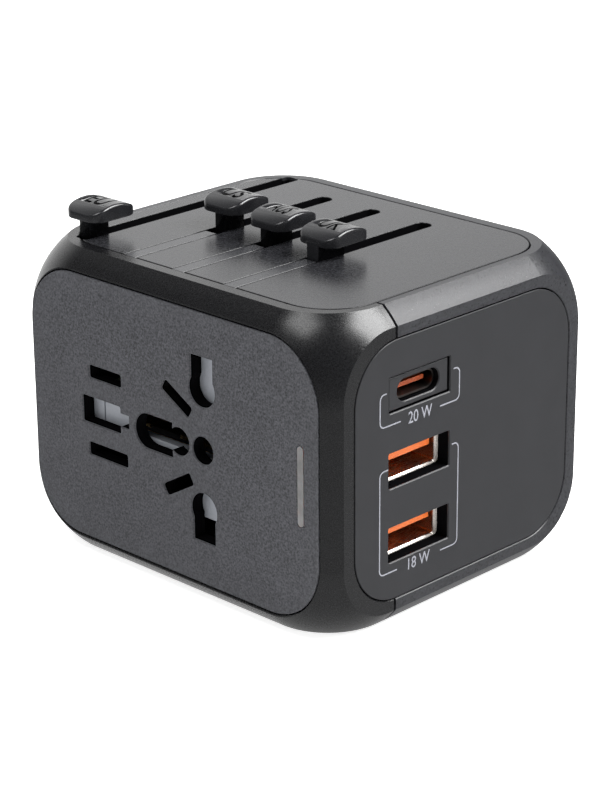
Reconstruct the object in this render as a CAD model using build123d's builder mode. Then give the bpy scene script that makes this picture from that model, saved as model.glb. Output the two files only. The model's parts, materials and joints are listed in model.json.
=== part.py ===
"""Universal travel adapter: a rounded block with a multi-country socket on the front face,
three charging ports on the right face and four sliders on top that push four sets of plug
pins out of the back.

Frame: millimetres, +Z up, origin on the underside below the middle of the casing.
The socket faces -Y, the pins leave towards +Y and the charging ports face +X.
"""
from build123d import *
import os

os.makedirs("parts", exist_ok=True)

# ---------------------------------------------------------------- casing
BODY_X = 69.0
BODY_Y = 60.0
BODY_Z = 51.2
MID = BODY_Z / 2
CORNER_R = 16.2              # radius of every rounded edge before the flat faces cut it
CORE = (21.7, 17.2, 12.9)    # half lengths of the box that the rounding is swung about
WALL = 2.4
SEAM_Y = -15.85              # joint between the glossy front shell and the matt rear shell
SEAM_GAP = 0.5

# ---------------------------------------------------------------- trim panels
TRIM_T = 1.2
GROOVE = 0.2                 # dark line around each panel
EDGE_R = 0.15                # softened edge of every panel and of the openings in it
LIP = 0.12                   # bevel around each panel recess
FRONT_TRIM = (63.7, 44.6, 10.0)
SIDE_TRIM = (49.4, 41.6, 9.2)
TOP_TRIM = (60.6, 50.0, 8.5)

FRONT = Plane(origin=(0, -BODY_Y / 2, MID), x_dir=(1, 0, 0), z_dir=(0, -1, 0))
BACK = Plane(origin=(0, BODY_Y / 2, MID), x_dir=(-1, 0, 0), z_dir=(0, 1, 0))
RIGHT = Plane(origin=(BODY_X / 2, 0, MID), x_dir=(0, 1, 0), z_dir=(1, 0, 0))
LEFT = Plane(origin=(-BODY_X / 2, 0, MID), x_dir=(0, -1, 0), z_dir=(-1, 0, 0))
TOP = Plane(origin=(0, 0, BODY_Z), x_dir=(1, 0, 0), z_dir=(0, 0, 1))
BOTTOM = Plane(origin=(0, 0, 0), x_dir=(1, 0, 0), z_dir=(0, 0, -1))
FACE_TRIMS = (
    (FRONT, FRONT_TRIM),
    (BACK, FRONT_TRIM),
    (RIGHT, SIDE_TRIM),
    (LEFT, SIDE_TRIM),
    (TOP, TOP_TRIM),
    (BOTTOM, TOP_TRIM),
)

# ---------------------------------------------------------------- socket face
LINE_X = 7.55                # live and neutral entries, one above and one below the middle
EARTH_X = -15.65
BLADE_X = -14.5              # American entries
EURO_Z = 9.9
EURO_R = 2.83
UK_ENTRY_Z = 12.1
UK_ENTRY = (4.75, 6.2)
# round entries: middle X, middle Z, radius
ROUND_ENTRIES = (
    (LINE_X, EURO_Z, EURO_R),
    (LINE_X, -EURO_Z, EURO_R),
    (LINE_X + 0.02, 0, 2.25),            # earth
    (-4.85, -0.1, 2.9),                  # left end of the long middle entry
    (2.25, 0.1, 2.3),                    # its right end
)
# square-cornered entries: middle X, middle Z, width, height
SQUARE_ENTRIES = (
    (LINE_X, UK_ENTRY_Z, *UK_ENTRY),
    (LINE_X, -UK_ENTRY_Z, *UK_ENTRY),
    (EARTH_X + 5.35, 0.1, 2.1, 2.2),     # extension of the British earth entry
    (-2.05, -0.1, 5.6, 5.8),             # body of the long middle entry
)
# entries with rounded corners: middle X, middle Z, width, height, corner radius
SOFT_ENTRIES = (
    (EARTH_X, 0, 8.9, 4.5, 0.3),         # British earth
    (BLADE_X - 0.05, 6.6, 7.4, 2.15, 0.4),
    (BLADE_X + 0.2, -6.6, 9.1, 2.2, 0.4),    # longer, for the neutral blade
)
AUS_ENTRY = (1.9, 7.1)                   # middle of the upper slanted entry
AUS_ENTRY_SIZE = (6.85, 2.0, 0.45)
LAMP_X = 28.4
LAMP_SIZE = (12.8, 1.2)

# ---------------------------------------------------------------- charging ports
PORT_Y = -10.55
PORT_PITCH = 12.05
PORT_SIZE = (13.6, 5.7)
PORT_DEPTH = 2.3             # how far the metal shells sit behind the side face
PORT_ZS = (PORT_PITCH + 0.25, 0.25, 0.25 - PORT_PITCH)
USB_A_LENGTH = 13.5
USB_A_LIP = 0.4              # rim above and below the mouth
USB_A_SIDE_LIP = 0.7         # rim beside the mouth
USB_A_BACK_T = 0.4
USB_A_MOUTH_BEVEL = 0.25
TONGUE_INSET = 0.75          # front of a tongue behind its mouth
USB_C_LENGTH = 9.0

# ---------------------------------------------------------------- sliders and lanes
EU_X = -26.0
US_X = -13.1
AUS_X = -2.2
UK_X = 9.05
SLOT_W = 2.8
EU_SLOT = (-24.2, 24.4)
SLOT = (-25.3, 19.6)         # open at the front edge of the top panel
FILLER_END = -7.7
CAP_X = 8.0
CAP_Y = 9.3
CAP_END_T = 1.1
CAP_CROWN_T = 2.5
CAP_CORNER_R = 2.3
STEM_W = 2.4
# name, lane, middle of the cap, stem from front to back, gap between top face and cap
SLIDERS = (
    ("eu_slider", EU_X, -19.6, (-23.1, -19.1), 2.9),
    ("us_slider", US_X, -1.9, (-5.5, -1.4), 2.9),
    ("aus_slider", AUS_X, -2.2, (-6.1, -1.4), 2.5),
    ("uk_slider", UK_X, -2.5, (-7.2, -1.4), 2.2),
)

# ---------------------------------------------------------------- plug pins
EU_PIN_Z = 9.5
EU_BLOCK = (9.0, 32.0)       # width across X, height across Z
EU_BLOCK_Y = (-12.0, 9.6)
EU_PIN_TIP = 28.6
US_PIN = (6.35, 1.55)
US_PIN_Z = 6.35
AUS_PIN = (6.3, 1.6)
AUS_PIN_Z = 6.86
AUS_TILT = 30.0
UK_PIN = (3.97, 6.35)
UK_PIN_Z = 11.1
UK_EARTH = (8.0, 3.97)
UK_EARTH_X = UK_X - 22.2
CARRIAGE_Y = (-6.7, 6.1)
PIN_TIP = 27.7
PIN_PLAY = 0.3               # gap around each pin where it leaves the back panel

# ---------------------------------------------------------------- safety shutter
SHUTTER_T = 1.5
SHUTTER_Y = -BODY_Y / 2 + WALL + 0.1
SHUTTER_TRAVEL = 9.6         # clears every entry

# ---------------------------------------------------------------- socket block and screws
BLOCK_BACK = -7.4
BLOCK_X = (-21.2, 12.9)
BLOCK_HALF_Z = 17.0
BLOCK_WALL = 0.9
SCREW_XZ = ((-23.6, -19.9), (23.6, -19.9), (23.6, 19.9))     # hidden behind the back panel
BOSS_R = 2.5
SCREW_SPLIT_Y = 17.0
SCREW_HEAD_Y = 27.0
SCREW_TIP_Y = 9.0
SCREW_R = 0.9
HEAD_R = 1.9
SPRING_PEG_X = (2.4, 3.8)
SPRING_PEG_Z = (16.7, 18.3)


def save(builder, name):
    """Label one finished sub-part and write it."""
    builder.part.label = name
    export_step(builder.part, f"parts/{name}.step")


def box_between(x, y, z, mode=Mode.ADD):
    """Box given by its limits on each axis; z is measured from the middle of the casing."""
    centre = ((x[0] + x[1]) / 2, (y[0] + y[1]) / 2, MID + (z[0] + z[1]) / 2)
    with Locations(centre):
        Box(x[1] - x[0], y[1] - y[0], z[1] - z[0], mode=mode)


def body_blank(inset):
    """Solid block of the casing's outer shape, moved in evenly by inset."""
    radius = CORNER_R - inset
    with BuildPart() as blank:
        with Locations((0, 0, MID)):
            Box(2 * (CORE[0] + radius), 2 * (CORE[1] + radius), 2 * (CORE[2] + radius))
            fillet(blank.edges(), radius)
            Box(BODY_X - 2 * inset, BODY_Y - 2 * inset, BODY_Z - 2 * inset, mode=Mode.INTERSECT)
    return blank.part


# ================================================================ openings shared by panel and shell
def socket_entries():
    """Sketch of every entry in the socket face, drawn on the front plane."""
    with BuildSketch(FRONT) as entries:
        for x, z, radius in ROUND_ENTRIES:
            with Locations((x, z)):
                Circle(radius)
        for x, z, width, height in SQUARE_ENTRIES:
            with Locations((x, z)):
                Rectangle(width, height)
        for x, z, width, height, radius in SOFT_ENTRIES:
            with Locations((x, z)):
                RectangleRounded(width, height, radius)
        # slanted Australian blades
        for side in (1, -1):
            with Locations(Location((AUS_ENTRY[0], side * AUS_ENTRY[1]), -side * AUS_TILT)):
                RectangleRounded(*AUS_ENTRY_SIZE)
    return entries.sketch


def lamp_slot(play):
    """Capsule outline of the indicator light."""
    with BuildSketch(FRONT) as slot:
        with Locations((LAMP_X, 0)):
            SlotOverall(LAMP_SIZE[0] + play, LAMP_SIZE[1] + play, rotation=90)
    return slot.sketch


def port_openings():
    """Three equal windows for the charging ports."""
    with BuildSketch(RIGHT) as ports:
        for z in PORT_ZS:
            with Locations((PORT_Y, z)):
                RectangleRounded(PORT_SIZE[0], PORT_SIZE[1], 0.25)
    return ports.sketch


def slider_slots():
    """The four slots that the slider stems run in."""
    with BuildSketch(TOP) as slots:
        for x in (US_X, AUS_X, UK_X):
            with Locations((x, (SLOT[0] + SLOT[1]) / 2)):
                Rectangle(SLOT_W, SLOT[1] - SLOT[0])
        fillet(slots.vertices().group_by(Axis.Y)[-1], 1.2)
        with Locations((EU_X, (EU_SLOT[0] + EU_SLOT[1]) / 2)):
            RectangleRounded(SLOT_W, EU_SLOT[1] - EU_SLOT[0], 0.9)
    return slots.sketch


def pin_exits():
    """Holes in the back for the four sets of pins, drawn in the frame of the casing."""
    grow = 2 * PIN_PLAY
    flat = Plane(origin=(0, BODY_Y / 2, MID), x_dir=(1, 0, 0), z_dir=(0, -1, 0))
    with BuildSketch(flat) as exits:
        with Locations((EU_X, 0)):
            SlotOverall(EU_BLOCK[1] + grow, EU_BLOCK[0] + grow, rotation=90)
        for side in (1, -1):
            with Locations((US_X, side * US_PIN_Z)):
                Rectangle(US_PIN[0] + grow, US_PIN[1] + grow)
            with Locations(Location((AUS_X, side * AUS_PIN_Z), 90 - side * AUS_TILT)):
                Rectangle(AUS_PIN[0] + grow, AUS_PIN[1] + grow)
            with Locations((UK_X, side * UK_PIN_Z)):
                Rectangle(UK_PIN[0] + grow, UK_PIN[1] + grow)
        with Locations((UK_EARTH_X, 0)):
            Rectangle(UK_EARTH[0] + grow, UK_EARTH[1] + grow)
    return exits.sketch


ENTRIES = socket_entries()
PORTS = port_openings()
SLOTS = slider_slots()
EXITS = pin_exits()
SHELL_CUT = 2 * WALL


# ================================================================ casing shells
def casing():
    """Hollow casing with every recess and opening, before it is parted at the seam."""
    with BuildPart() as case:
        add(body_blank(0))
        add(body_blank(WALL), mode=Mode.SUBTRACT)
        for plane, (width, height, radius) in FACE_TRIMS:
            with BuildSketch(plane):
                RectangleRounded(width + 2 * GROOVE, height + 2 * GROOVE, radius + GROOVE)
            extrude(amount=-TRIM_T, mode=Mode.SUBTRACT)
            # bevelled lip that opens outwards
            with BuildSketch(plane.offset(-LIP)):
                RectangleRounded(width + 2 * GROOVE, height + 2 * GROOVE, radius + GROOVE)
            extrude(amount=2 * LIP, taper=-45, mode=Mode.SUBTRACT)
        extrude(ENTRIES, amount=SHELL_CUT, dir=(0, 1, 0), mode=Mode.SUBTRACT)
        extrude(lamp_slot(0.1), amount=SHELL_CUT, dir=(0, 1, 0), mode=Mode.SUBTRACT)
        extrude(PORTS, amount=SHELL_CUT, dir=(-1, 0, 0), mode=Mode.SUBTRACT)
        extrude(SLOTS, amount=SHELL_CUT, dir=(0, 0, -1), mode=Mode.SUBTRACT)
        extrude(EXITS, amount=SHELL_CUT, dir=(0, -1, 0), mode=Mode.SUBTRACT)
    return case.part


def rod_y(x, z, y0, y1, radius, mode=Mode.ADD):
    """Round bar along Y; z is measured from the middle of the casing."""
    with Locations((x, (y0 + y1) / 2, MID + z)):
        Cylinder(radius, y1 - y0, rotation=(90, 0, 0), mode=mode)


def add_bosses(y0, y1, bore):
    """Bored screw bosses between two depths."""
    for x, z in SCREW_XZ:
        rod_y(x, z, y0, y1, BOSS_R)
        rod_y(x, z, y0, y1, bore, Mode.SUBTRACT)


CASING = casing()
INNER = BODY_Y / 2 - WALL

with BuildPart() as front_shell:
    add(CASING)
    box_between((-BODY_X, BODY_X), (SEAM_Y - SEAM_GAP / 2, BODY_Y), (-BODY_Z, BODY_Z), Mode.SUBTRACT)
    add_bosses(-INNER, SCREW_SPLIT_Y, SCREW_R)
    # peg that the shutter's return spring pushes against
    box_between(SPRING_PEG_X, (-INNER, -INNER + SHUTTER_T), SPRING_PEG_Z)
save(front_shell, "front_shell")

with BuildPart() as rear_shell:
    add(CASING)
    box_between((-BODY_X, BODY_X), (-BODY_Y, SEAM_Y + SEAM_GAP / 2), (-BODY_Z, BODY_Z), Mode.SUBTRACT)
    add_bosses(SCREW_SPLIT_Y, INNER, 1.2)
    for screw_x, screw_z in SCREW_XZ:
        rod_y(screw_x, screw_z, SCREW_HEAD_Y, BODY_Y / 2, HEAD_R + 0.2, Mode.SUBTRACT)
save(rear_shell, "rear_shell")


# ================================================================ trim panels
def trim_panel(name, plane, size, *cuts):
    """Thin rounded panel in its recess, with the given openings."""
    with BuildPart() as panel:
        with BuildSketch(plane):
            RectangleRounded(*size)
        extrude(amount=-TRIM_T)
        outward = Axis(plane.origin, plane.z_dir)
        fillet(panel.faces().sort_by(outward)[-1].edges(), EDGE_R)
        for sketch, way in cuts:
            extrude(sketch, amount=SHELL_CUT, dir=way, mode=Mode.SUBTRACT)
            # bevel the openings
            flared = offset(sketch, amount=EDGE_R, mode=Mode.PRIVATE)
            extrude(flared, amount=EDGE_R, dir=way, taper=45, mode=Mode.SUBTRACT)
    save(panel, name)


trim_panel("front_panel", FRONT, FRONT_TRIM, (ENTRIES, (0, 1, 0)), (lamp_slot(0.1), (0, 1, 0)))
trim_panel("top_panel", TOP, TOP_TRIM, (SLOTS, (0, 0, -1)))
trim_panel("usb_side_panel", RIGHT, SIDE_TRIM, (PORTS, (-1, 0, 0)))
trim_panel("left_side_panel", LEFT, SIDE_TRIM)
trim_panel("bottom_panel", BOTTOM, TOP_TRIM)
trim_panel("back_pin_panel", BACK, FRONT_TRIM, (EXITS, (0, -1, 0)))

# strips that close the front ends of three slots behind the sliders' rest positions
with BuildPart() as slot_fillers:
    for lane_x in (US_X, AUS_X, UK_X):
        half = SLOT_W / 2 - 0.1
        box_between((lane_x - half, lane_x + half), (SLOT[0] + 0.1, FILLER_END), (MID - WALL, MID))
    chamfer(slot_fillers.faces().group_by(Axis.Z)[-1].edges().filter_by(Axis.Y), EDGE_R)
save(slot_fillers, "slot_fillers")


# ================================================================ indicator light
LIGHT_PIPE_LENGTH = WALL + 0.8
LED_FRONT = -BODY_Y / 2 + LIGHT_PIPE_LENGTH
LED_BACK = LED_FRONT + 1.1
LED_HALF = (1.0, 1.6)
LED_BOARD_X = (19.2, 30.6)
LED_BOARD_T = 1.0
LED_BOARD_HALF_Z = 7.0
with BuildPart() as light_pipe:
    extrude(lamp_slot(0), amount=LIGHT_PIPE_LENGTH, dir=(0, 1, 0))
save(light_pipe, "indicator_light_pipe")

with BuildPart() as indicator_led:
    led_x = (LAMP_X - LED_HALF[0], LAMP_X + LED_HALF[0])
    box_between(led_x, (LED_FRONT, LED_BACK), (-LED_HALF[1], LED_HALF[1]))
save(indicator_led, "indicator_led")

with BuildPart() as led_board:
    box_between(LED_BOARD_X, (LED_BACK, LED_BACK + LED_BOARD_T), (-LED_BOARD_HALF_Z, LED_BOARD_HALF_Z))
save(led_board, "led_board")


# ================================================================ charging ports
def usb_a_socket(name, z):
    """Bent metal shell of one USB-A port with a lip around its mouth, and its contact tongue."""
    mouth_x = BODY_X / 2 - PORT_DEPTH
    width, height = PORT_SIZE[0] - 0.1, PORT_SIZE[1] - 0.1
    mouth = Plane(origin=(mouth_x, PORT_Y, MID + z), x_dir=(0, 1, 0), z_dir=(1, 0, 0))
    with BuildPart() as shell:
        with BuildSketch(mouth):
            RectangleRounded(width, height, 0.8)
        extrude(amount=-USB_A_LENGTH)
        with BuildSketch(mouth):
            RectangleRounded(width - 2 * USB_A_SIDE_LIP, height - 2 * USB_A_LIP, 0.5)
        extrude(amount=-(USB_A_LENGTH - USB_A_BACK_T), mode=Mode.SUBTRACT)
        chamfer(shell.faces().sort_by(Axis.X)[-1].inner_wires()[0].edges(), USB_A_MOUTH_BEVEL)
    save(shell, f"{name}_shell")
    back_x = mouth_x - USB_A_LENGTH + USB_A_BACK_T
    with BuildPart() as tongue:
        box_between((back_x, mouth_x - TONGUE_INSET), (PORT_Y - 5.55, PORT_Y + 5.55), (z + 0.2, z + 2.04))
    save(tongue, f"{name}_tongue")


usb_a_socket("usb_a_upper", PORT_ZS[1])
usb_a_socket("usb_a_lower", PORT_ZS[2])

# insert that narrows the top window down to the small port
USB_C_FACE_X = BODY_X / 2 - 0.35
USB_C_SHELL_X = USB_C_FACE_X - 1.0
USBC_FACE = Plane(origin=(USB_C_FACE_X, PORT_Y, MID + PORT_ZS[0]), x_dir=(0, 1, 0), z_dir=(1, 0, 0))
with BuildPart() as usb_c_insert:
    with BuildSketch(USBC_FACE):
        RectangleRounded(PORT_SIZE[0] - 0.4, PORT_SIZE[1] - 0.4, 0.2)
        SlotOverall(9.4, 3.6, mode=Mode.SUBTRACT)
    extrude(amount=-(WALL + 0.4))
    chamfer(usb_c_insert.faces().sort_by(Axis.X)[-1].edges(), EDGE_R)
save(usb_c_insert, "usb_c_insert")

with BuildPart() as usb_c_shell:
    with BuildSketch(USBC_FACE.offset(USB_C_SHELL_X - USB_C_FACE_X)):
        SlotOverall(9.0, 3.2)
    extrude(amount=-USB_C_LENGTH)
    with BuildSketch(USBC_FACE.offset(USB_C_SHELL_X - USB_C_FACE_X)):
        SlotOverall(8.4, 2.6)
    extrude(amount=-(USB_C_LENGTH - 0.6), mode=Mode.SUBTRACT)
save(usb_c_shell, "usb_c_shell")

with BuildPart() as usb_c_tongue:
    with BuildSketch(USBC_FACE.offset(-2.0)):
        RectangleRounded(6.7, 0.7, 0.3)
    extrude(amount=-(USB_C_LENGTH - 1.6))
save(usb_c_tongue, "usb_c_tongue")


# ================================================================ charger electronics
BOARD_X = (17.1, 18.7)
BOARD_HALF = (24.0, 16.5)
CARRIER_Y = (PORT_Y - 4.5, PORT_Y + 4.5)
CARRIER_Z = (PORT_ZS[0] - 1.6, PORT_ZS[0] + 1.6)
# position across Y and Z, radius, length
CAPACITORS = (
    (6.5, 11.8, 3.6, 11.0),
    (15.0, 11.8, 3.6, 11.0),
    (8.0, -12.0, 4.0, 11.5),
)
with BuildPart() as charger_board:
    box_between(BOARD_X, (-BOARD_HALF[0], BOARD_HALF[0]), (-BOARD_HALF[1], BOARD_HALF[1]))
save(charger_board, "charger_board")

with BuildPart() as usb_c_carrier:
    box_between((BOARD_X[1], USB_C_SHELL_X - USB_C_LENGTH), CARRIER_Y, CARRIER_Z)
save(usb_c_carrier, "usb_c_carrier")

TRANSFORMER_Y = 10.5
CORE_HALF = (6.5, 7.0)
CORE_END_X = 29.5
WINDING_X = BOARD_X[1] + 5.4
WINDING_R = 6.9
WINDING_LENGTH = 6.0
with BuildPart() as transformer:
    core_y = (TRANSFORMER_Y - CORE_HALF[0], TRANSFORMER_Y + CORE_HALF[0])
    box_between((BOARD_X[1], CORE_END_X), core_y, (-CORE_HALF[1], CORE_HALF[1]))
    with Locations((WINDING_X, TRANSFORMER_Y, MID)):
        Cylinder(WINDING_R, WINDING_LENGTH, rotation=(0, 90, 0))
save(transformer, "transformer")

with BuildPart() as capacitors:
    for cap_y, cap_z, cap_r, cap_len in CAPACITORS:
        with Locations((BOARD_X[1] + cap_len / 2, cap_y, MID + cap_z)):
            Cylinder(cap_r, cap_len, rotation=(0, 90, 0))
save(capacitors, "capacitors")

CHOKE_YZ = (17.8, -12.0)
CHOKE_R = (4.4, 1.8)         # outside and hole
CHOKE_LENGTH = 6.0
with BuildPart() as choke:
    with Locations((BOARD_X[1] + CHOKE_LENGTH / 2, CHOKE_YZ[0], MID + CHOKE_YZ[1])):
        Cylinder(CHOKE_R[0], CHOKE_LENGTH, rotation=(0, 90, 0))
        Cylinder(CHOKE_R[1], CHOKE_LENGTH, rotation=(0, 90, 0), mode=Mode.SUBTRACT)
save(choke, "choke")


# ================================================================ socket block and contacts
BLOCK_FRONT = -25.4
BLOCK_FLOOR = BLOCK_BACK - 1.4
RIB_Z = 3.9
RIB_FRONT = -22.0
RIB_T = 1.0
with BuildPart() as socket_block:
    box_between(BLOCK_X, (BLOCK_FRONT, BLOCK_BACK), (-BLOCK_HALF_Z, BLOCK_HALF_Z))
    block_inside_x = (BLOCK_X[0] + BLOCK_WALL, BLOCK_X[1] - BLOCK_WALL)
    block_inside_z = (-BLOCK_HALF_Z + BLOCK_WALL, BLOCK_HALF_Z - BLOCK_WALL)
    box_between(block_inside_x, (BLOCK_FRONT, BLOCK_FLOOR), block_inside_z, Mode.SUBTRACT)
    # ribs that part live, earth and neutral
    for rib_z in (-RIB_Z, RIB_Z):
        box_between(block_inside_x, (RIB_FRONT, BLOCK_FLOOR), (rib_z - RIB_T / 2, rib_z + RIB_T / 2))
save(socket_block, "socket_block")

LEAF_T = 0.6
CONTACT_BASE_Y = (BLOCK_FLOOR - LEAF_T, BLOCK_FLOOR)
LEAF_Y = (-23.5, BLOCK_FLOOR - LEAF_T)
LINE_BASE_X = (-19.0, 11.0)
LINE_BASE_Z = (4.6, 15.2)
LINE_LEAF_Z = (6.9, 15.0)
LINE_LEAF_GAP = 2.7          # from the middle of the entry to each leaf
BLADE_LEAF_X = (-18.0, -10.8)
BLADE_LEAF_Z = 6.6
BLADE_LEAF_T = 0.5
BLADE_LEAF_OFFSETS = (-1.5, 1.0)
EARTH_BASE_X = (-20.0, 9.9)
EARTH_BASE_Z = (-3.2, 3.2)
EARTH_LEAF_SPANS = ((-19.9, -11.3), (-4.4, 9.6))
EARTH_LEAF_ZS = (-3.0, 2.4)


def line_contact(name, side):
    """Sprung sheet contact: leaves beside each entry on one common base strip."""
    base_z = sorted(side * z for z in LINE_BASE_Z)
    leaf_span = sorted(side * z for z in LINE_LEAF_Z)
    with BuildPart() as contact:
        box_between(LINE_BASE_X, CONTACT_BASE_Y, base_z)
        for leaf_x in (LINE_X - LINE_LEAF_GAP - LEAF_T, LINE_X + LINE_LEAF_GAP):
            box_between((leaf_x, leaf_x + LEAF_T), LEAF_Y, leaf_span)
        for step in BLADE_LEAF_OFFSETS:
            leaf_z = side * BLADE_LEAF_Z + step
            box_between(BLADE_LEAF_X, LEAF_Y, (leaf_z, leaf_z + BLADE_LEAF_T))
    save(contact, name)


line_contact("contact_live", 1)
line_contact("contact_neutral", -1)

with BuildPart() as contact_earth:
    box_between(EARTH_BASE_X, CONTACT_BASE_Y, EARTH_BASE_Z)
    for leaf_z in EARTH_LEAF_ZS:
        for leaf_span in EARTH_LEAF_SPANS:
            box_between(leaf_span, LEAF_Y, (leaf_z, leaf_z + LEAF_T))
save(contact_earth, "contact_earth")


# ================================================================ safety shutter
SHUTTER_SPAN = (SHUTTER_Y, SHUTTER_Y + SHUTTER_T)
EARTH_FLAP_X = (-20.7, -10.6)
EARTH_FLAP_Z = (-4.0, 4.0)
EARTH_STEP_X = (-17.7, -17.4)
EARTH_STEP_DEPTH = 0.5
ARM_END_X = 7.0
ARM_Z = (-3.4, -2.2)
LINE_FLAP_X = 4.7
UPPER_FLAP_Z = (5.8, 16.9)
LOWER_FLAP_Z = (-12.4, -8.0)
SPINE_X = (13.3, 15.5)
POST_X = (-12.3, -10.9)
RAIL_FOOT_Z = 15.6
SPRING_RAIL_TOP_Z = 19.4
SPRING_RAIL_END_T = 1.6
SPRING_PEG_GAP = 0.2         # beside the peg; half of it above and below
SPRING_STOP_X = -4.0         # front end of the spring when the shutter is fully open
SPRING_WINDOW_X = (SPRING_STOP_X - SHUTTER_TRAVEL, SPRING_PEG_X[1] + SPRING_PEG_GAP)
SPRING_WINDOW_Z = (SPRING_PEG_Z[0] - SPRING_PEG_GAP / 2, SPRING_PEG_Z[1] + SPRING_PEG_GAP / 2)
SPRING_RAIL_X = (SPRING_WINDOW_X[0] - SPRING_RAIL_END_T, SPRING_WINDOW_X[1] + SPRING_RAIL_END_T)
with BuildPart() as safety_shutter:
    # earth flap with a step in its face, and its arm across the middle entry
    box_between(EARTH_FLAP_X, SHUTTER_SPAN, EARTH_FLAP_Z)
    box_between(EARTH_STEP_X, (SHUTTER_Y, SHUTTER_Y + EARTH_STEP_DEPTH), EARTH_FLAP_Z, Mode.SUBTRACT)
    box_between((EARTH_FLAP_X[1], ARM_END_X), SHUTTER_SPAN, ARM_Z)
    # two line flaps on the spine
    box_between((LINE_FLAP_X, SPINE_X[1]), SHUTTER_SPAN, UPPER_FLAP_Z)
    box_between((LINE_FLAP_X, SPINE_X[1]), SHUTTER_SPAN, LOWER_FLAP_Z)
    box_between(SPINE_X, SHUTTER_SPAN, (LOWER_FLAP_Z[0], UPPER_FLAP_Z[1]))
    # post and rail that tie the earth flap to the line flaps
    box_between(POST_X, SHUTTER_SPAN, (EARTH_FLAP_Z[1], UPPER_FLAP_Z[1]))
    box_between((POST_X[0], SPINE_X[1]), SHUTTER_SPAN, (RAIL_FOOT_Z, UPPER_FLAP_Z[1]))
    # taller stretch of the rail, with the window for the return spring
    box_between(SPRING_RAIL_X, SHUTTER_SPAN, (RAIL_FOOT_Z, SPRING_RAIL_TOP_Z))
    box_between(SPRING_WINDOW_X, SHUTTER_SPAN, SPRING_WINDOW_Z, Mode.SUBTRACT)
save(safety_shutter, "safety_shutter")

# return spring, at the length it is squeezed to against the front shell's peg
SPRING_MEAN_R = 0.55
SPRING_WIRE_R = 0.13
SPRING_PITCH = 0.6
SPRING_LENGTH = 5.4
SPRING_START = (
    SPRING_PEG_X[0] - 0.3 - SPRING_LENGTH,
    SHUTTER_Y + SHUTTER_T / 2,
    MID + sum(SPRING_WINDOW_Z) / 2,
)
with BuildPart() as shutter_spring:
    with BuildLine() as spring_line:
        Helix(SPRING_PITCH, SPRING_LENGTH, SPRING_MEAN_R, center=SPRING_START, direction=(1, 0, 0))
    with BuildSketch(Plane(origin=spring_line.line @ 0, z_dir=spring_line.line % 0)):
        Circle(SPRING_WIRE_R)
    sweep(is_frenet=True)
save(shutter_spring, "shutter_spring")


# ================================================================ sliders
CARRIAGE_TOP = MID - WALL - 0.6          # above the middle of the casing


def slider(name, x, cap_y, stem_y, lift):
    """Thumb cap, domed along its travel, on the stem that passes through the slot."""
    side = Plane(origin=(x - CAP_X / 2, cap_y, BODY_Z + lift), x_dir=(0, 1, 0), z_dir=(1, 0, 0))
    half = CAP_Y / 2
    with BuildPart() as knob:
        with BuildSketch(side):
            with BuildLine():
                Polyline((-half, CAP_END_T), (-half, 0), (half, 0), (half, CAP_END_T))
                ThreePointArc((half, CAP_END_T), (0, CAP_CROWN_T), (-half, CAP_END_T))
            make_face()
        extrude(amount=CAP_X)
        fillet(knob.edges().filter_by(Axis.Z), CAP_CORNER_R)
        fillet(knob.faces().sort_by(Axis.Z)[-1].edges(), 0.45)
        fillet(knob.faces().sort_by(Axis.Z)[0].edges(), 0.2)
        box_between((x - STEM_W / 2, x + STEM_W / 2), stem_y, (CARRIAGE_TOP, MID + lift + 0.5))
    save(knob, name)


for slider_values in SLIDERS:
    slider(*slider_values)


# ================================================================ plug pins and their carriages
def flat_pin(name, x, z, size, tilt=0.0):
    """Flat pin with a bevelled tip, standing on the back of its carriage."""
    root = Plane(origin=(x, CARRIAGE_Y[1], MID + z), x_dir=(1, 0, 0), z_dir=(0, -1, 0))
    with BuildPart() as pin:
        with BuildSketch(root):
            Rectangle(*size, rotation=tilt)
        extrude(amount=-(PIN_TIP - CARRIAGE_Y[1]))
        chamfer(pin.faces().sort_by(Axis.Y)[-1].edges(), 0.45)
    save(pin, name)


EU_ARM_X = (EU_X - 1.9, EU_X + 1.9)
EU_ARM_RISER_Y = (-23.4, -18.8)
EU_ARM_Z = (4.0, 12.0)
with BuildPart() as eu_plug_block:
    with BuildSketch(Plane(origin=(EU_X, EU_BLOCK_Y[0], MID), x_dir=(1, 0, 0), z_dir=(0, -1, 0))):
        SlotOverall(EU_BLOCK[1], EU_BLOCK[0], rotation=90)
    extrude(amount=-(EU_BLOCK_Y[1] - EU_BLOCK_Y[0]))
    chamfer(eu_plug_block.faces().sort_by(Axis.Y)[-1].edges(), 0.6)
    # arm up to the slider, in front of the block so that it never reaches the back wall
    box_between(EU_ARM_X, EU_ARM_RISER_Y, (EU_ARM_Z[0], CARRIAGE_TOP))
    box_between(EU_ARM_X, (EU_ARM_RISER_Y[1], EU_BLOCK_Y[0]), EU_ARM_Z)
save(eu_plug_block, "eu_plug_block")

for pin_name, pin_side in (("eu_pin_live", 1), ("eu_pin_neutral", -1)):
    with BuildPart() as eu_pin:
        rod_y(EU_X, pin_side * EU_PIN_Z, EU_BLOCK_Y[1], EU_PIN_TIP, 2.0)
        fillet(eu_pin.faces().sort_by(Axis.Y)[-1].edges(), 1.2)
    save(eu_pin, pin_name)

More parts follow.
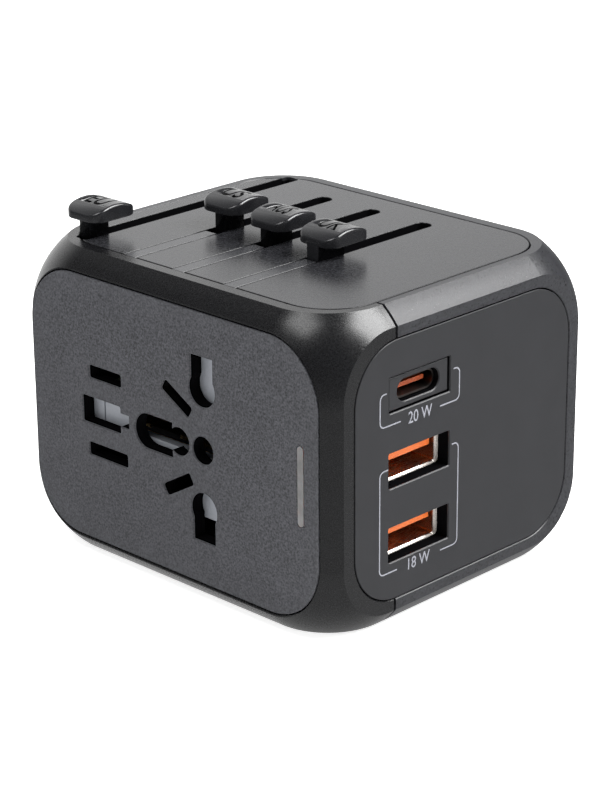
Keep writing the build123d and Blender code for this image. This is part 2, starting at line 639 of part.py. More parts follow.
# American: two heads joined by a spine that keeps clear of the British earth pin
US_SPINE_X = (-19.9, -17.8)
US_RIGHT = US_X + 3.4
US_HEAD_Z = (4.9, 8.4)
US_TIE_T = 2.4
with BuildPart() as us_carriage:
    box_between(US_SPINE_X, CARRIAGE_Y, (-US_HEAD_Z[1], CARRIAGE_TOP))
    box_between((US_SPINE_X[0], US_RIGHT), CARRIAGE_Y, US_HEAD_Z)
    box_between((US_SPINE_X[0], US_RIGHT), CARRIAGE_Y, (-US_HEAD_Z[1], -US_HEAD_Z[0]))
    tie_x = (US_SPINE_X[0], US_X + STEM_W / 2)
    box_between(tie_x, CARRIAGE_Y, (CARRIAGE_TOP - US_TIE_T, CARRIAGE_TOP))
save(us_carriage, "us_carriage")
flat_pin("us_blade_live", US_X, US_PIN_Z, US_PIN)
flat_pin("us_blade_neutral", US_X, -US_PIN_Z, US_PIN)

# Australian: one plain slab
AUS_SLAB_HALF = 2.2
AUS_SLAB_FOOT = -10.3
with BuildPart() as aus_carriage:
    box_between((AUS_X - AUS_SLAB_HALF, AUS_X + AUS_SLAB_HALF), CARRIAGE_Y, (AUS_SLAB_FOOT, CARRIAGE_TOP))
save(aus_carriage, "aus_carriage")
flat_pin("aus_blade_live", AUS_X, AUS_PIN_Z, AUS_PIN, 90 - AUS_TILT)
flat_pin("aus_blade_neutral", AUS_X, -AUS_PIN_Z, AUS_PIN, 90 + AUS_TILT)

# British: a slab, a beam under the other carriages and a riser to the earth pin
UK_SLAB_HALF = 2.25
UK_BEAM_Z = (-14.8, -11.2)
UK_RISER_X = (-9.2, -5.3)
UK_ARM_HALF = 2.2
with BuildPart() as uk_carriage:
    box_between((UK_X - UK_SLAB_HALF, UK_X + UK_SLAB_HALF), CARRIAGE_Y, (UK_BEAM_Z[0], CARRIAGE_TOP))
    box_between((UK_RISER_X[0], UK_X), CARRIAGE_Y, UK_BEAM_Z)
    box_between(UK_RISER_X, CARRIAGE_Y, (UK_BEAM_Z[0], UK_ARM_HALF))
    box_between((UK_EARTH_X - 4.2, UK_RISER_X[1]), CARRIAGE_Y, (-UK_ARM_HALF, UK_ARM_HALF))
save(uk_carriage, "uk_carriage")
flat_pin("uk_pin_live", UK_X, UK_PIN_Z, UK_PIN)
flat_pin("uk_pin_neutral", UK_X, -UK_PIN_Z, UK_PIN)
flat_pin("uk_pin_earth", UK_EARTH_X, 0, UK_EARTH)

# bed that the carriages slide over, standing on the floor of the casing
BED_X = (-20.5, 12.5)
BED_Y = (CARRIAGE_Y[0], 26.0)
BED_Z = (-16.8, -15.2)
FOOT_T = 2.0
with BuildPart() as carriage_bed:
    box_between(BED_X, BED_Y, BED_Z)
    for foot_x in (BED_X[0], -4.0, BED_X[1] - FOOT_T):
        box_between((foot_x, foot_x + FOOT_T), BED_Y, (-MID + WALL, BED_Z[0]))
save(carriage_bed, "carriage_bed")


# ================================================================ fuse and screws
FUSE_Y = -20.0
FUSE_Z = -20.0
FUSE_R = 2.5
FUSE_HALF = 10.0
GLASS_LENGTH = 11.0          # between the metal end caps
GLASS_INSET = 0.15
CLIP_T = 3.0
CLIP_HALF_Y = 3.1
CLIP_TOP_Z = FUSE_Z + 1.2
with BuildPart() as fuse:
    with Locations((0, FUSE_Y, MID + FUSE_Z)):
        Cylinder(FUSE_R, 2 * FUSE_HALF, rotation=(0, 90, 0))
        Cylinder(FUSE_R, GLASS_LENGTH, rotation=(0, 90, 0), mode=Mode.SUBTRACT)
        Cylinder(FUSE_R - GLASS_INSET, GLASS_LENGTH, rotation=(0, 90, 0))
save(fuse, "fuse")

with BuildPart() as fuse_clips:
    for clip_x in (-8.0, 8.0):
        clip_span = (clip_x - CLIP_T / 2, clip_x + CLIP_T / 2)
        box_between(clip_span, (FUSE_Y - CLIP_HALF_Y, FUSE_Y + CLIP_HALF_Y), (-MID + WALL, CLIP_TOP_Z))
    with Locations((0, FUSE_Y, MID + FUSE_Z)):
        Cylinder(FUSE_R, 2 * FUSE_HALF, rotation=(0, 90, 0), mode=Mode.SUBTRACT)
save(fuse_clips, "fuse_clips")

with BuildPart() as case_screws:
    for screw_x, screw_z in SCREW_XZ:
        rod_y(screw_x, screw_z, SCREW_TIP_Y, SCREW_HEAD_Y, SCREW_R)
        rod_y(screw_x, screw_z, SCREW_HEAD_Y, BODY_Y / 2 - TRIM_T - 0.1, HEAD_R)
save(case_screws, "case_screws")
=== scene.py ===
"""Looks of the universal travel adapter: materials, printed marks, engraved caps and studio."""
import json
import math

import bmesh
import bpy
from mathutils import Matrix, Vector


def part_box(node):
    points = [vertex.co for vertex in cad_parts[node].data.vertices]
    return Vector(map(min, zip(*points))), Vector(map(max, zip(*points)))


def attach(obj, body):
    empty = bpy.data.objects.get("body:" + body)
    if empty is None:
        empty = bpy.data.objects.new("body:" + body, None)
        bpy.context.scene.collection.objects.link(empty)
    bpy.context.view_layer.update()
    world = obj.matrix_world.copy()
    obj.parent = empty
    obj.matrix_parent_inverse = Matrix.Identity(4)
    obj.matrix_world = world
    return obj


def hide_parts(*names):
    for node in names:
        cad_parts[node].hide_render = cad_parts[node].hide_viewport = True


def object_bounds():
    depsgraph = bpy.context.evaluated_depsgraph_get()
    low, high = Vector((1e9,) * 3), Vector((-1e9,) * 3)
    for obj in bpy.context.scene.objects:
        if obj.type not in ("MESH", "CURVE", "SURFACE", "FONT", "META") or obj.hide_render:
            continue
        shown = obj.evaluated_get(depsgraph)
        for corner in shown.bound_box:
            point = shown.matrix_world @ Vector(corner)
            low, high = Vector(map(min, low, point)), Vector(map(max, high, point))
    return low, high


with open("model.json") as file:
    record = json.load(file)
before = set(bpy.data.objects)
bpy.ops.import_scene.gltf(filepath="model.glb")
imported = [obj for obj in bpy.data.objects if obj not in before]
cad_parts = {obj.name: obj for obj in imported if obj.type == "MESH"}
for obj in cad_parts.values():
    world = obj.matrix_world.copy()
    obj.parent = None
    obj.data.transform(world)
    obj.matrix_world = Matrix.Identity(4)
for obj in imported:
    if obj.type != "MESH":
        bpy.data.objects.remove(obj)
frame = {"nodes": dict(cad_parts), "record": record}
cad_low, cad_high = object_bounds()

MM = 0.001
nodes = frame["nodes"]

# ---------------------------------------------------------------- casing and colours, in millimetres
# the casing is a box with rounded edges, cut flat on its six faces
CASING_MIDDLE_Z = 25.6
CASING_HALF = tuple((cad_high[axis] - cad_low[axis]) / 2 / MM for axis in (0, 1)) + (CASING_MIDDLE_Z,)
ROUNDING_CORE = (21.7, 17.2, 12.9)
ROUNDING_R = 16.2
# colour of the painted shade laid on surfaces deep inside slots, grooves, seams and ports
RECESS_SHADE_BLACK = (0.0035, 0.0035, 0.004)
COOL = (0.965, 0.985, 1.11)
RECESS_SHADE_FADE = 0.1            # depth over which a surface turns to the painted recess shade
LIP_HIGHLIGHT_FADE = 0.05              # depth over which a port's rim turns less metallic and lighter, a painted highlight
LIP_HIGHLIGHT_METALLIC = 0.25

# ---------------------------------------------------------------- camera
CAMERA_TARGET = Vector((29.28, -30.0, 38.8)) * MM
CAMERA_DISTANCE = 362.95 * MM
CAMERA_AZIMUTH = math.radians(44.363)
CAMERA_ELEVATION = math.radians(20.69)
CAMERA_ROLL = math.radians(0.426)
CAMERA_LENS = 111.5


def add_camera():
    """Camera that looks at the front left and the ports from slightly above."""
    back = Vector((
        math.sin(CAMERA_AZIMUTH) * math.cos(CAMERA_ELEVATION),
        -math.cos(CAMERA_AZIMUTH) * math.cos(CAMERA_ELEVATION),
        math.sin(CAMERA_ELEVATION),
    ))
    right = (-back).cross(Vector((0, 0, 1))).normalized()
    up = right.cross(-back)
    turn = Matrix.Rotation(CAMERA_ROLL, 3, -back)
    right, up = turn @ right, turn @ up
    data = bpy.data.cameras.new("camera")
    data.lens = CAMERA_LENS
    data.sensor_width = 36.0
    data.clip_start, data.clip_end = 0.01, 20.0
    camera = bpy.data.objects.new("camera", data)
    bpy.context.scene.collection.objects.link(camera)
    axes = Matrix((right, up, back)).transposed()
    camera.matrix_world = Matrix.Translation(CAMERA_TARGET + back * CAMERA_DISTANCE) @ axes.to_4x4()
    bpy.context.scene.camera = camera


# ---------------------------------------------------------------- shader helper
class Shader:
    """One material and short ways to add nodes to it."""

    def __init__(self, name, colour, roughness, **sockets):
        self.material = bpy.data.materials.new(name)
        self.material.use_nodes = True
        self.tree = self.material.node_tree
        self.bsdf = self.tree.nodes["Principled BSDF"]
        self.bsdf.inputs["Base Color"].default_value = (*colour, 1)
        self.bsdf.inputs["Roughness"].default_value = roughness
        for key, value in sockets.items():
            self.bsdf.inputs[key.replace("_", " ")].default_value = value

    def node(self, kind, **inputs):
        """New node with its inputs set or linked."""
        made = self.tree.nodes.new(kind)
        for key, value in inputs.items():
            socket = made.inputs[key.replace("_", " ")]
            if isinstance(value, bpy.types.NodeSocket):
                self.tree.links.new(value, socket)
            else:
                socket.default_value = value
        return made

    def place(self, stretch=(1, 1, 1)):
        """Object coordinates in millimetres, squeezed along the axes where stretch is large."""
        where = self.node("ShaderNodeTexCoord").outputs["Object"]
        scale = tuple(1000.0 / part for part in stretch)
        return self.node("ShaderNodeMapping", Vector=where, Scale=scale).outputs["Vector"]

    def noise(self, size, detail=2.0, roughness=0.5, stretch=(1, 1, 1)):
        """Noise whose grains are about size millimetres across."""
        made = self.node(
            "ShaderNodeTexNoise", Vector=self.place(stretch), Scale=1.0 / size,
            Detail=detail, Roughness=roughness,
        )
        return made.outputs["Fac"]

    def ramp(self, fac, *stops):
        """Colour ramp through pairs of position and colour."""
        made = self.node("ShaderNodeValToRGB", Fac=fac)
        elements = made.color_ramp.elements
        while len(elements) < len(stops):
            elements.new(0.5)
        for element, (where, colour) in zip(elements, stops):
            element.position = where
            element.color = (*colour, 1)
        return made.outputs["Color"]

    def mix(self, fac, first, second, blend="MIX"):
        """Colour mix of two sockets or colours."""
        made = self.tree.nodes.new("ShaderNodeMixRGB")
        made.blend_type = blend
        for socket, value in zip(made.inputs, (fac, first, second)):
            if isinstance(value, bpy.types.NodeSocket):
                self.tree.links.new(value, socket)
            else:
                socket.default_value = value if isinstance(value, float) else (*value, 1)
        return made.outputs["Color"]

    def vector_math(self, operation, *values):
        """Vector maths node; gives its vector, or its number where it has one."""
        made = self.tree.nodes.new("ShaderNodeVectorMath")
        made.operation = operation
        for socket, value in zip(made.inputs, values):
            if isinstance(value, bpy.types.NodeSocket):
                self.tree.links.new(value, socket)
            else:
                socket.default_value = value
        return made.outputs["Value" if operation == "LENGTH" else "Vector"]

    def number_math(self, operation, *values):
        """Maths node on numbers."""
        made = self.tree.nodes.new("ShaderNodeMath")
        made.operation = operation
        for socket, value in zip(made.inputs, values):
            if isinstance(value, bpy.types.NodeSocket):
                self.tree.links.new(value, socket)
            else:
                socket.default_value = value
        return made.outputs["Value"]

    def depth(self):
        """Depth below the casing's outer skin in millimetres, 0 on the skin and negative inside."""
        middle = (0.0, 0.0, CASING_MIDDLE_Z)
        away = self.vector_math("ABSOLUTE", self.vector_math("SUBTRACT", self.place(), middle))
        past_core = self.vector_math("MAXIMUM", self.vector_math("SUBTRACT", away, ROUNDING_CORE), (0, 0, 0))
        rounded = self.number_math("SUBTRACT", self.vector_math("LENGTH", past_core), ROUNDING_R)
        past_faces = self.vector_math("SUBTRACT", away, CASING_HALF)
        x, y, z = self.node("ShaderNodeSeparateXYZ", Vector=past_faces).outputs
        flat = self.number_math("MAXIMUM", self.number_math("MAXIMUM", x, y), z)
        return self.number_math("MAXIMUM", rounded, flat)

    def paint_recess_shade(self, colour, below, shine):
        """Painted shade: dull black with less specular where the surface lies deeper under the skin than
        below millimetres, standing in for the shade in slots, grooves, seams and ports.
        """
        rise = self.node(
            "ShaderNodeMapRange", Value=self.depth(), From_Min=-below - RECESS_SHADE_FADE, From_Max=-below
        )
        shown = rise.outputs["Result"]
        self.link(self.number_math("MULTIPLY", shown, shine), "Specular IOR Level")
        return self.mix(shown, RECESS_SHADE_BLACK, colour)

    def link(self, output, name):
        self.tree.links.new(output, self.bsdf.inputs[name])

    def bump(self, height, strength, distance):
        """Relief with its depth in millimetres."""
        made = self.node("ShaderNodeBump", Height=height, Strength=strength, Distance=distance * MM)
        self.link(made.outputs["Normal"], "Normal")


def grey(value, tint=(1.0, 1.0, 1.0)):
    return tuple(value * part for part in tint)


def moulded(name, value, roughness, grain, contrast, relief, tint=COOL, shade_below=None, shine=0.5):
    """Moulded plastic: spark-eroded grain, faint larger mottling and a matching relief; where a depth is
    given, painted shade on surfaces lying deeper than it in recesses.
    """
    made = Shader(name, grey(value, tint), roughness, Specular_IOR_Level=shine)
    fine = made.noise(grain, detail=3.0, roughness=0.7)
    broad = made.noise(grain * 22, detail=2.0)
    dark, light = grey(value * (1 - contrast), tint), grey(value * (1 + contrast), tint)
    colour = made.ramp(fine, (0.34, dark), (0.66, light))
    cloud = made.ramp(broad, (0.3, grey(0.95)), (0.7, grey(1.05)))
    colour = made.mix(1.0, colour, cloud, "MULTIPLY")
    # painted shade: surfaces deep in recesses turn dull black
    if shade_below is not None:
        colour = made.paint_recess_shade(colour, shade_below, shine)
    made.link(colour, "Base Color")
    made.link(made.ramp(fine, (0.3, grey(roughness - 0.06)), (0.7, grey(roughness + 0.08))), "Roughness")
    made.bump(fine, 1.0, relief)
    return made.material


def rolled_metal(name, colour, roughness, stretch, highlight_below=None):
    """Metal with fine rolling or drawing marks along the stretched axis; on its outer rim less metallic and
    lighter, a painted highlight.
    """
    made = Shader(name, colour, roughness, Metallic=1.0)
    marks = made.noise(0.12, detail=3.0, roughness=0.6, stretch=stretch)
    stain = made.noise(3.0, detail=2.0)
    dull = tuple(part * 0.82 for part in colour)
    made.link(made.ramp(stain, (0.35, dull), (0.65, colour)), "Base Color")
    made.link(made.ramp(marks, (0.3, grey(roughness - 0.07)), (0.7, grey(roughness + 0.1))), "Roughness")
    made.bump(marks, 0.6, 0.004)
    # painted highlight: the metal near the casing skin turns less metallic, so its lip shows light
    if highlight_below is not None:
        rim = made.node(
            "ShaderNodeMapRange", Value=made.depth(), From_Min=-highlight_below - LIP_HIGHLIGHT_FADE, From_Max=-highlight_below
        )
        rim.inputs["To Min"].default_value = 1.0
        rim.inputs["To Max"].default_value = LIP_HIGHLIGHT_METALLIC
        made.link(rim.outputs["Result"], "Metallic")
    return made.material


def circuit_board(name):
    """Green solder mask over copper tracks, with tinned pads."""
    made = Shader(name, (0.01, 0.1, 0.04), 0.35)
    tracks = made.node(
        "ShaderNodeTexBrick", Vector=made.place(), Scale=0.35, Color1=(0.012, 0.13, 0.05, 1),
        Color2=(0.008, 0.1, 0.04, 1), Mortar=(0.03, 0.22, 0.09, 1),
    )
    pads = made.node("ShaderNodeTexVoronoi", Vector=made.place(), Scale=0.28).outputs["Distance"]
    tin = made.ramp(pads, (0.1, grey(1.0)), (0.13, grey(0.0)))
    made.link(made.mix(tin, tracks.outputs["Color"], (0.6, 0.58, 0.54)), "Base Color")
    made.link(tin, "Metallic")
    return made.material


def winding_tape(name):
    """Yellow polyester tape wound in overlapping turns."""
    made = Shader(name, (0.72, 0.5, 0.08), 0.3, Coat_Weight=0.3)
    turns = made.node("ShaderNodeTexWave", Vector=made.place(), Scale=0.45, Distortion=0.4).outputs["Fac"]
    made.link(made.ramp(turns, (0.0, (0.55, 0.36, 0.05)), (1.0, (0.78, 0.56, 0.1))), "Base Color")
    made.bump(turns, 0.5, 0.05)
    return made.material


def smoked_lens(name):
    """Milky grey light pipe with faint cloudy mottling."""
    made = Shader(name, grey(0.15), 0.3, Subsurface_Weight=0.2, Subsurface_Scale=0.001)
    milk = made.noise(1.6, detail=3.0)
    made.link(made.ramp(milk, (0.3, grey(0.12)), (0.7, grey(0.17))), "Base Color")
    made.bump(made.noise(0.2), 0.3, 0.01)
    return made.material


def build_materials():
    """Every finish of the adapter by a short name."""
    tongue = moulded("tongue_orange", 1.0, 0.38, 0.2, 0.08, 0.004, tint=(0.95, 0.2, 0.035))
    return {
        # where a depth is given, surfaces lying deeper than it in recesses get painted shade
        "panel": moulded("graphite_speckle", 0.05, 0.42, 0.34, 0.55, 0.016, shade_below=0.22),
        "top": moulded("graphite_top", 0.02, 0.25, 0.34, 0.6, 0.008, shade_below=0.0),
        "rear": moulded("graphite_matte", 0.026, 0.32, 0.34, 0.5, 0.012, shade_below=0.5, shine=0.42),
        "filler": moulded("graphite_filler", 0.03, 0.25, 0.3, 0.2, 0.004, shade_below=0.0),
        "side": moulded("graphite_smooth", 0.019, 0.42, 0.22, 0.1, 0.003, shade_below=0.22),
        "insert": moulded("graphite_insert", 0.02, 0.42, 0.22, 0.06, 0.003, shade_below=0.55),
        "bezel": moulded("bezel_satin_black", 0.006, 0.26, 0.24, 0.25, 0.008, shade_below=0.5),
        "cap": moulded("slider_black", 0.013, 0.2, 0.18, 0.2, 0.001, shine=0.6),
        # painted shade in the engraved letters: dull near-black on their walls and floors
        "engraving": moulded("engraving_painted_shade", 0.003, 0.6, 0.18, 0.2, 0.001, shine=0.12),
        "print": moulded("print_grey", 0.24, 0.5, 0.12, 0.12, 0.002),
        "white": moulded("shutter_white", 0.28, 0.35, 0.3, 0.05, 0.003, tint=(0.92, 0.97, 1.06)),
        "lamp": smoked_lens("lamp_smoke"),
        "orange": tongue,
        # dimmed copies of the tongue orange and port steel: painted shade inside the USB-C port
        "orange_shaded": moulded("tongue_orange_painted_shade", 0.4, 0.38, 0.2, 0.08, 0.004, tint=(0.95, 0.16, 0.03)),
        "steel": rolled_metal("port_steel", (0.72, 0.67, 0.62), 0.26, (1, 12, 1), highlight_below=2.45),
        "steel_shaded": rolled_metal("port_steel_painted_shade", (0.2, 0.18, 0.17), 0.35, (1, 12, 1)),
        "pin": rolled_metal("pin_nickel", (0.74, 0.71, 0.66), 0.22, (1, 14, 1)),
        "brass": rolled_metal("contact_brass", (0.78, 0.56, 0.26), 0.3, (8, 1, 1)),
        "inner": moulded("inner_black", 0.007, 0.55, 0.3, 0.2, 0.01),
        "board": circuit_board("board_green"),
        "part": moulded("component_black", 0.022, 0.35, 0.2, 0.1, 0.004),
        "tape": winding_tape("winding_tape"),
        "ceramic": moulded("fuse_ceramic", 0.75, 0.4, 0.25, 0.06, 0.006, tint=(1.0, 0.98, 0.92)),
    }


NODE_FINISH = {
    "front_shell": "bezel", "rear_shell": "rear", "top_panel": "top", "slot_fillers": "filler",
    "usb_side_panel": "side", "left_side_panel": "side", "usb_c_insert": "insert",
    # the USB-C shell and tongue take the copies with painted shade
    "usb_c_shell": "steel_shaded", "usb_c_tongue": "orange_shaded", "safety_shutter": "white",
    "indicator_light_pipe": "lamp", "indicator_led": "white", "fuse": "ceramic", "transformer": "tape",
    "capacitors": "part", "choke": "part", "shutter_spring": "steel", "case_screws": "steel",
    "fuse_clips": "brass",
}
FINISH_BY_END = {
    "_panel": "panel", "_slider": "cap", "_tongue": "orange", "_shell": "steel", "_board": "board",
}
FINISH_BY_START = {
    "eu_pin": "pin", "us_blade": "pin", "aus_blade": "pin", "uk_pin": "pin", "contact": "brass",
}


def node_finish(name):
    """Which finish a CAD node gets."""
    if name in NODE_FINISH:
        return NODE_FINISH[name]
    for ending, finish in FINISH_BY_END.items():
        if name.endswith(ending):
            return finish
    for start, finish in FINISH_BY_START.items():
        if name.startswith(start):
            return finish
    return "inner"


def finish_nodes():
    for name, obj in nodes.items():
        obj.data.materials.clear()
        obj.data.materials.append(materials[node_finish(name)])


# ---------------------------------------------------------------- meshes
def new_object(name, mesh, finish, body):
    """Object for a finished mesh, riding on its body."""
    obj = bpy.data.objects.new(name, mesh)
    bpy.context.scene.collection.objects.link(obj)
    if not mesh.materials:
        mesh.materials.append(materials[finish])
    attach(obj, body)
    return obj


def text_mesh(words, height, depth, squeeze=1.0, weight=0.0):
    """Closed mesh of raised letters, centred on the origin in XY, their feet at z 0."""
    data = bpy.data.curves.new("letters", "FONT")
    data.body = words
    data.size = 1.0
    data.extrude = 0.5
    data.offset = weight
    data.resolution_u = 6
    holder = bpy.data.objects.new("letters", data)
    bpy.context.scene.collection.objects.link(holder)
    bpy.context.view_layer.update()
    mesh = bpy.data.meshes.new_from_object(holder)
    bpy.data.objects.remove(holder)
    xs = [v.co.x for v in mesh.vertices]
    ys = [v.co.y for v in mesh.vertices]
    scale = height / (max(ys) - min(ys))
    middle = ((max(xs) + min(xs)) / 2, (max(ys) + min(ys)) / 2)
    for vertex in mesh.vertices:
        vertex.co.x = (vertex.co.x - middle[0]) * scale * squeeze
        vertex.co.y = (vertex.co.y - middle[1]) * scale
        vertex.co.z = (vertex.co.z + 0.5) * depth
    work = bmesh.new()
    work.from_mesh(mesh)
    bmesh.ops.remove_doubles(work, verts=work.verts, dist=height * 1e-4)
    bmesh.ops.recalc_face_normals(work, faces=work.faces)
    work.to_mesh(mesh)
    work.free()
    return mesh


# ---------------------------------------------------------------- printed marks beside the ports
PRINT_T = 0.03               # ink thickness and how far it stands off the panel
LINE_W = 0.22
CORNER = 0.9


def rounded_path(points, radius):
    """Open path with every inner corner turned into an arc."""
    path = [Vector(points[0])]
    for before, corner, after in zip(points, points[1:], points[2:]):
        corner = Vector(corner)
        to_before = (Vector(before) - corner).normalized()
        to_after = (Vector(after) - corner).normalized()
        centre = corner + (to_before + to_after) * radius
        for step in range(9):
            angle = step / 8 * math.pi / 2
            path.append(centre - to_after * radius * math.cos(angle) - to_before * radius * math.sin(angle))
    path.append(Vector(points[-1]))
    return path


def ribbon(name, points):
    """Printed line along a path on the right side face; points are (y, z) from the face's middle."""
    face_x = cad_high[0] / MM
    middle_z = side_middle_z
    path = rounded_path(points, CORNER)
    work = bmesh.new()
    rings = []
    for index, point in enumerate(path):
        along = (path[min(index + 1, len(path) - 1)] - path[max(index - 1, 0)]).normalized()
        across = Vector((-along.y, along.x)) * LINE_W / 2
        ring = []
        for shift, lift in ((across, 0.1), (across, 1.0), (-across, 1.0), (-across, 0.1)):
            spot = point + shift
            ring.append(work.verts.new(Vector((face_x + lift * PRINT_T, spot.x, middle_z + spot.y)) * MM))
        rings.append(ring)
    for first, second in zip(rings, rings[1:]):
        for side in range(4):
            work.faces.new((first[side], first[(side + 1) % 4], second[(side + 1) % 4], second[side]))
    work.faces.new(rings[0])
    work.faces.new(reversed(rings[-1]))
    bmesh.ops.recalc_face_normals(work, faces=work.faces)
    mesh = bpy.data.meshes.new(name)
    work.to_mesh(mesh)
    work.free()
    new_object(name, mesh, "print", "casing")


def printed_words(name, words, y, z, height):
    """Small printed words on the right side face."""
    mesh = text_mesh(words, height, PRINT_T, squeeze=0.86, weight=0.004)
    turn = Matrix(((0, 0, 1), (1, 0, 0), (0, 1, 0))).to_4x4()
    place = Matrix.Translation((cad_high[0] / MM + 0.1 * PRINT_T, y, side_middle_z + z))
    mesh.transform(Matrix.Scale(MM, 4) @ place @ turn)
    new_object(name, mesh, "print", "casing")


def add_print():
    """Brackets around the ports with a power rating under each."""
    ribbon("print_bracket_c_left", [(-18.0, 12.9), (-19.4, 12.9), (-19.4, 7.7), (-14.9, 7.7)])
    ribbon("print_bracket_c_right", [(-6.1, 7.7), (-1.65, 7.7), (-1.65, 12.9), (-3.05, 12.9)])
    ribbon("print_bracket_a_left", [(-17.6, 0.7), (-19.4, 0.7), (-19.4, -16.15), (-15.5, -16.15)])
    ribbon("print_bracket_a_right", [(-5.6, -16.15), (-1.7, -16.15), (-1.7, 0.7), (-3.2, 0.7)])
    printed_words("print_rating_c", "20 W", -10.5, 7.75, 1.9)
    printed_words("print_rating_a", "18 W", -10.5, -16.1, 1.9)


# ---------------------------------------------------------------- engraved caps
ENGRAVE_DEPTH = 0.35
CODE_HEIGHT = 3.8
CODE_WIDTH = 4.1
DOME_FALL = 1.4              # from the crown of a cap to its ends
SHARP_ANGLE = math.radians(28)
CODES = {"eu_slider": "EU", "us_slider": "US", "aus_slider": "AUS", "uk_slider": "UK"}


def engraved_cap(node, code):
    """Copy of a slider with its region code cut into the dome."""
    mesh = nodes[node].data.copy()
    work = bmesh.new()
    work.from_mesh(mesh)
    bmesh.ops.remove_doubles(work, verts=work.verts, dist=1e-6)
    bmesh.ops.recalc_face_normals(work, faces=work.faces)
    work.to_mesh(mesh)
    work.free()
    low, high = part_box(node)
    letters = text_mesh(code, CODE_HEIGHT, 3.0, weight=0.012)
    width = max(v.co.x for v in letters.vertices) - min(v.co.x for v in letters.vertices)
    letters.transform(Matrix.Diagonal((CODE_WIDTH / width, 1, 1, 1)))
    centre = Vector(((low[0] + high[0]) / 2, (low[1] + high[1]) / 2, high[2])) / MM
    half = (high[1] - low[1]) / MM / 2
    dome_r = (half * half + DOME_FALL * DOME_FALL) / (2 * DOME_FALL)
    for vertex in letters.vertices:
        y = vertex.co.y
        fall = dome_r - math.sqrt(dome_r * dome_r - y * y)
        if vertex.co.z < 1.0:
            vertex.co.z = -fall - ENGRAVE_DEPTH
        else:
            vertex.co.z = 1.0
    letters.transform(Matrix.Scale(MM, 4) @ Matrix.Translation(centre))
    # the cut faces take the painted shade material of the engraving
    letters.materials.append(materials["engraving"])
    cutter = bpy.data.objects.new("cutter", letters)
    bpy.context.scene.collection.objects.link(cutter)
    mesh.materials.clear()
    mesh.materials.append(materials["cap"])
    name = f"{node}_engraved"
    cap = new_object(name, mesh, "cap", body_of[node])
    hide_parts(node)
    cut = cap.modifiers.new("code", "BOOLEAN")
    cut.operation = "DIFFERENCE"
    cut.object = cutter
    cut.solver = "EXACT"
    cut.material_mode = "TRANSFER"
    bpy.context.view_layer.update()
    graph = bpy.context.evaluated_depsgraph_get()
    done = bpy.data.meshes.new_from_object(cap.evaluated_get(graph))
    cap.modifiers.clear()
    cap.data = done
    bpy.data.objects.remove(cutter)
    for face in done.polygons:
        face.use_smooth = True
    done.set_sharp_from_angle(angle=SHARP_ANGLE)


# ---------------------------------------------------------------- studio
def add_light(name, way, distance, size, power, glossy=True):
    """Soft rectangular light in a direction from the adapter's middle."""
    aim = Vector((0, 0, CASING_MIDDLE_Z)) * MM
    data = bpy.data.lights.new(name, "AREA")
    data.shape = "RECTANGLE"
    data.size, data.size_y = size
    data.energy = power
    light = bpy.data.objects.new(name, data)
    light.location = aim + Vector(way).normalized() * distance
    light.rotation_euler = (aim - light.location).to_track_quat("-Z", "Y").to_euler()
    light.visible_glossy = glossy
    bpy.context.scene.collection.objects.link(light)


FLOOR_GLOW = 0.75


def add_floor():
    """Plain pale floor, glowing as if lit from below, and left out of reflections."""
    reach = 4.0
    mesh = bpy.data.meshes.new("floor")
    corners = [(-reach, -reach, 0), (reach, -reach, 0), (reach, reach, 0), (-reach, reach, 0)]
    mesh.from_pydata(corners, [], [(0, 1, 2, 3)])
    floor = bpy.data.objects.new("floor", mesh)
    bpy.context.scene.collection.objects.link(floor)
    paint = Shader("floor_white", grey(0.88), 0.9, Specular_IOR_Level=0.1)
    paint.bsdf.inputs["Emission Color"].default_value = (1, 1, 1, 1)
    paint.bsdf.inputs["Emission Strength"].default_value = FLOOR_GLOW
    paint.link(paint.ramp(paint.noise(40.0), (0.3, grey(0.875)), (0.7, grey(0.885))), "Base Color")
    floor.data.materials.append(paint.material)
    floor.visible_glossy = False


WORLD_BASE = 0.08
# direction, cosine where the glow starts, cosine where it is full, strength
WORLD_GLOWS = (
    ((-0.92, 0.38, 0.1), 0.62, 0.97, 1.15),     # white backdrop behind the adapter
    ((0.0, 0.0, -1.0), 0.05, 0.6, 0.45),         # pale table around it
    ((0.95, 0.3, -0.1), 0.7, 0.98, 0.45),       # pale wall on the right
    ((0.67, -0.65, -0.35), 0.7, 0.97, 0.12),    # low card in front of the corner
)


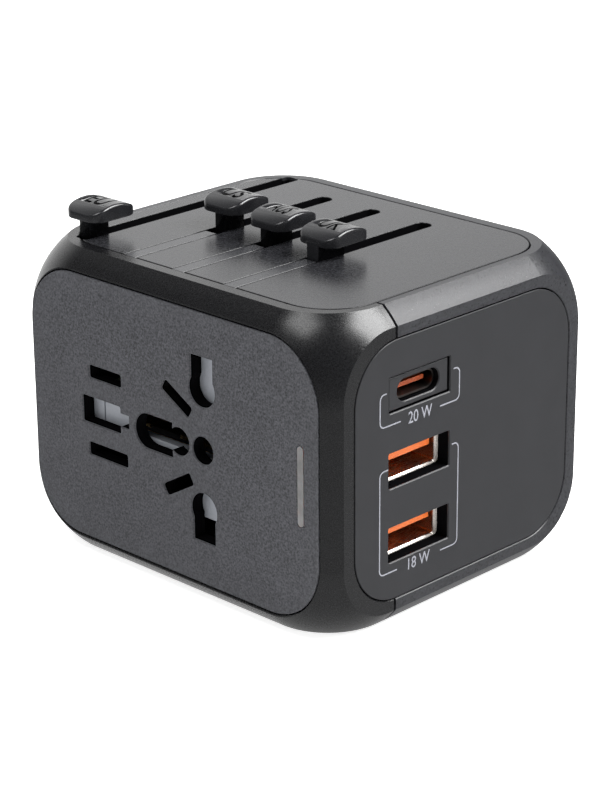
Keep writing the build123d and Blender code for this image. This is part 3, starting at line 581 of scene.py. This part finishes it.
def add_world():
    """Dim light with glows from four sides; plain white where the backdrop itself is seen."""
    world = bpy.data.worlds.new("world")
    bpy.context.scene.world = world
    world.use_nodes = True
    tree = world.node_tree
    way = tree.nodes.new("ShaderNodeTexCoord").outputs["Generated"]
    total = None
    for direction, start, full, strength in WORLD_GLOWS:
        dot = tree.nodes.new("ShaderNodeVectorMath")
        dot.operation = "DOT_PRODUCT"
        tree.links.new(way, dot.inputs[0])
        dot.inputs[1].default_value = Vector(direction).normalized()
        rise = tree.nodes.new("ShaderNodeMapRange")
        rise.interpolation_type = "SMOOTHSTEP"
        rise.inputs["From Min"].default_value = start
        rise.inputs["From Max"].default_value = full
        rise.inputs["To Max"].default_value = strength
        tree.links.new(dot.outputs["Value"], rise.inputs["Value"])
        add = tree.nodes.new("ShaderNodeMath")
        tree.links.new(rise.outputs["Result"], add.inputs[0])
        if total is None:
            add.inputs[1].default_value = WORLD_BASE
        else:
            tree.links.new(total, add.inputs[1])
        total = add.outputs["Value"]
    tree.links.new(total, tree.nodes["Background"].inputs["Strength"])
    tree.nodes["Background"].inputs["Color"].default_value = (1, 1, 1, 1)
    plain = tree.nodes.new("ShaderNodeBackground")
    plain.inputs["Color"].default_value = (1, 1, 1, 1)
    seen = tree.nodes.new("ShaderNodeLightPath").outputs["Is Camera Ray"]
    both = tree.nodes.new("ShaderNodeMixShader")
    tree.links.new(seen, both.inputs["Fac"])
    tree.links.new(tree.nodes["Background"].outputs["Background"], both.inputs[1])
    tree.links.new(plain.outputs["Background"], both.inputs[2])
    tree.links.new(both.outputs["Shader"], tree.nodes["World Output"].inputs["Surface"])


def add_studio():
    """Floor, backdrop light, two softboxes and two fill lights."""
    add_floor()
    add_world()
    add_light("back_right_softbox", (0.5, 0.42, 0.77), 0.8, (0.55, 0.5), 12.5)
    add_light("overhead_front", (-0.11, -0.42, 0.9), 0.8, (0.42, 0.3), 2.2)
    add_light("fill_front", (-0.45, -0.85, 0.3), 0.9, (0.6, 0.5), 3.3, glossy=False)
    add_light("fill_side", (0.9, -0.25, 0.3), 0.9, (0.6, 0.5), 0.8, glossy=False)
    bpy.context.scene.view_settings.view_transform = "Standard"


body_of = {
    node: body for body, members in frame["record"]["behaviour"]["bodies"].items() for node in members
}
side_middle_z = (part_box("usb_side_panel")[0][2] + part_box("usb_side_panel")[1][2]) / 2 / MM
materials = build_materials()

add_camera()
finish_nodes()
add_print()
for cap_node, cap_code in CODES.items():
    engraved_cap(cap_node, cap_code)
add_studio()
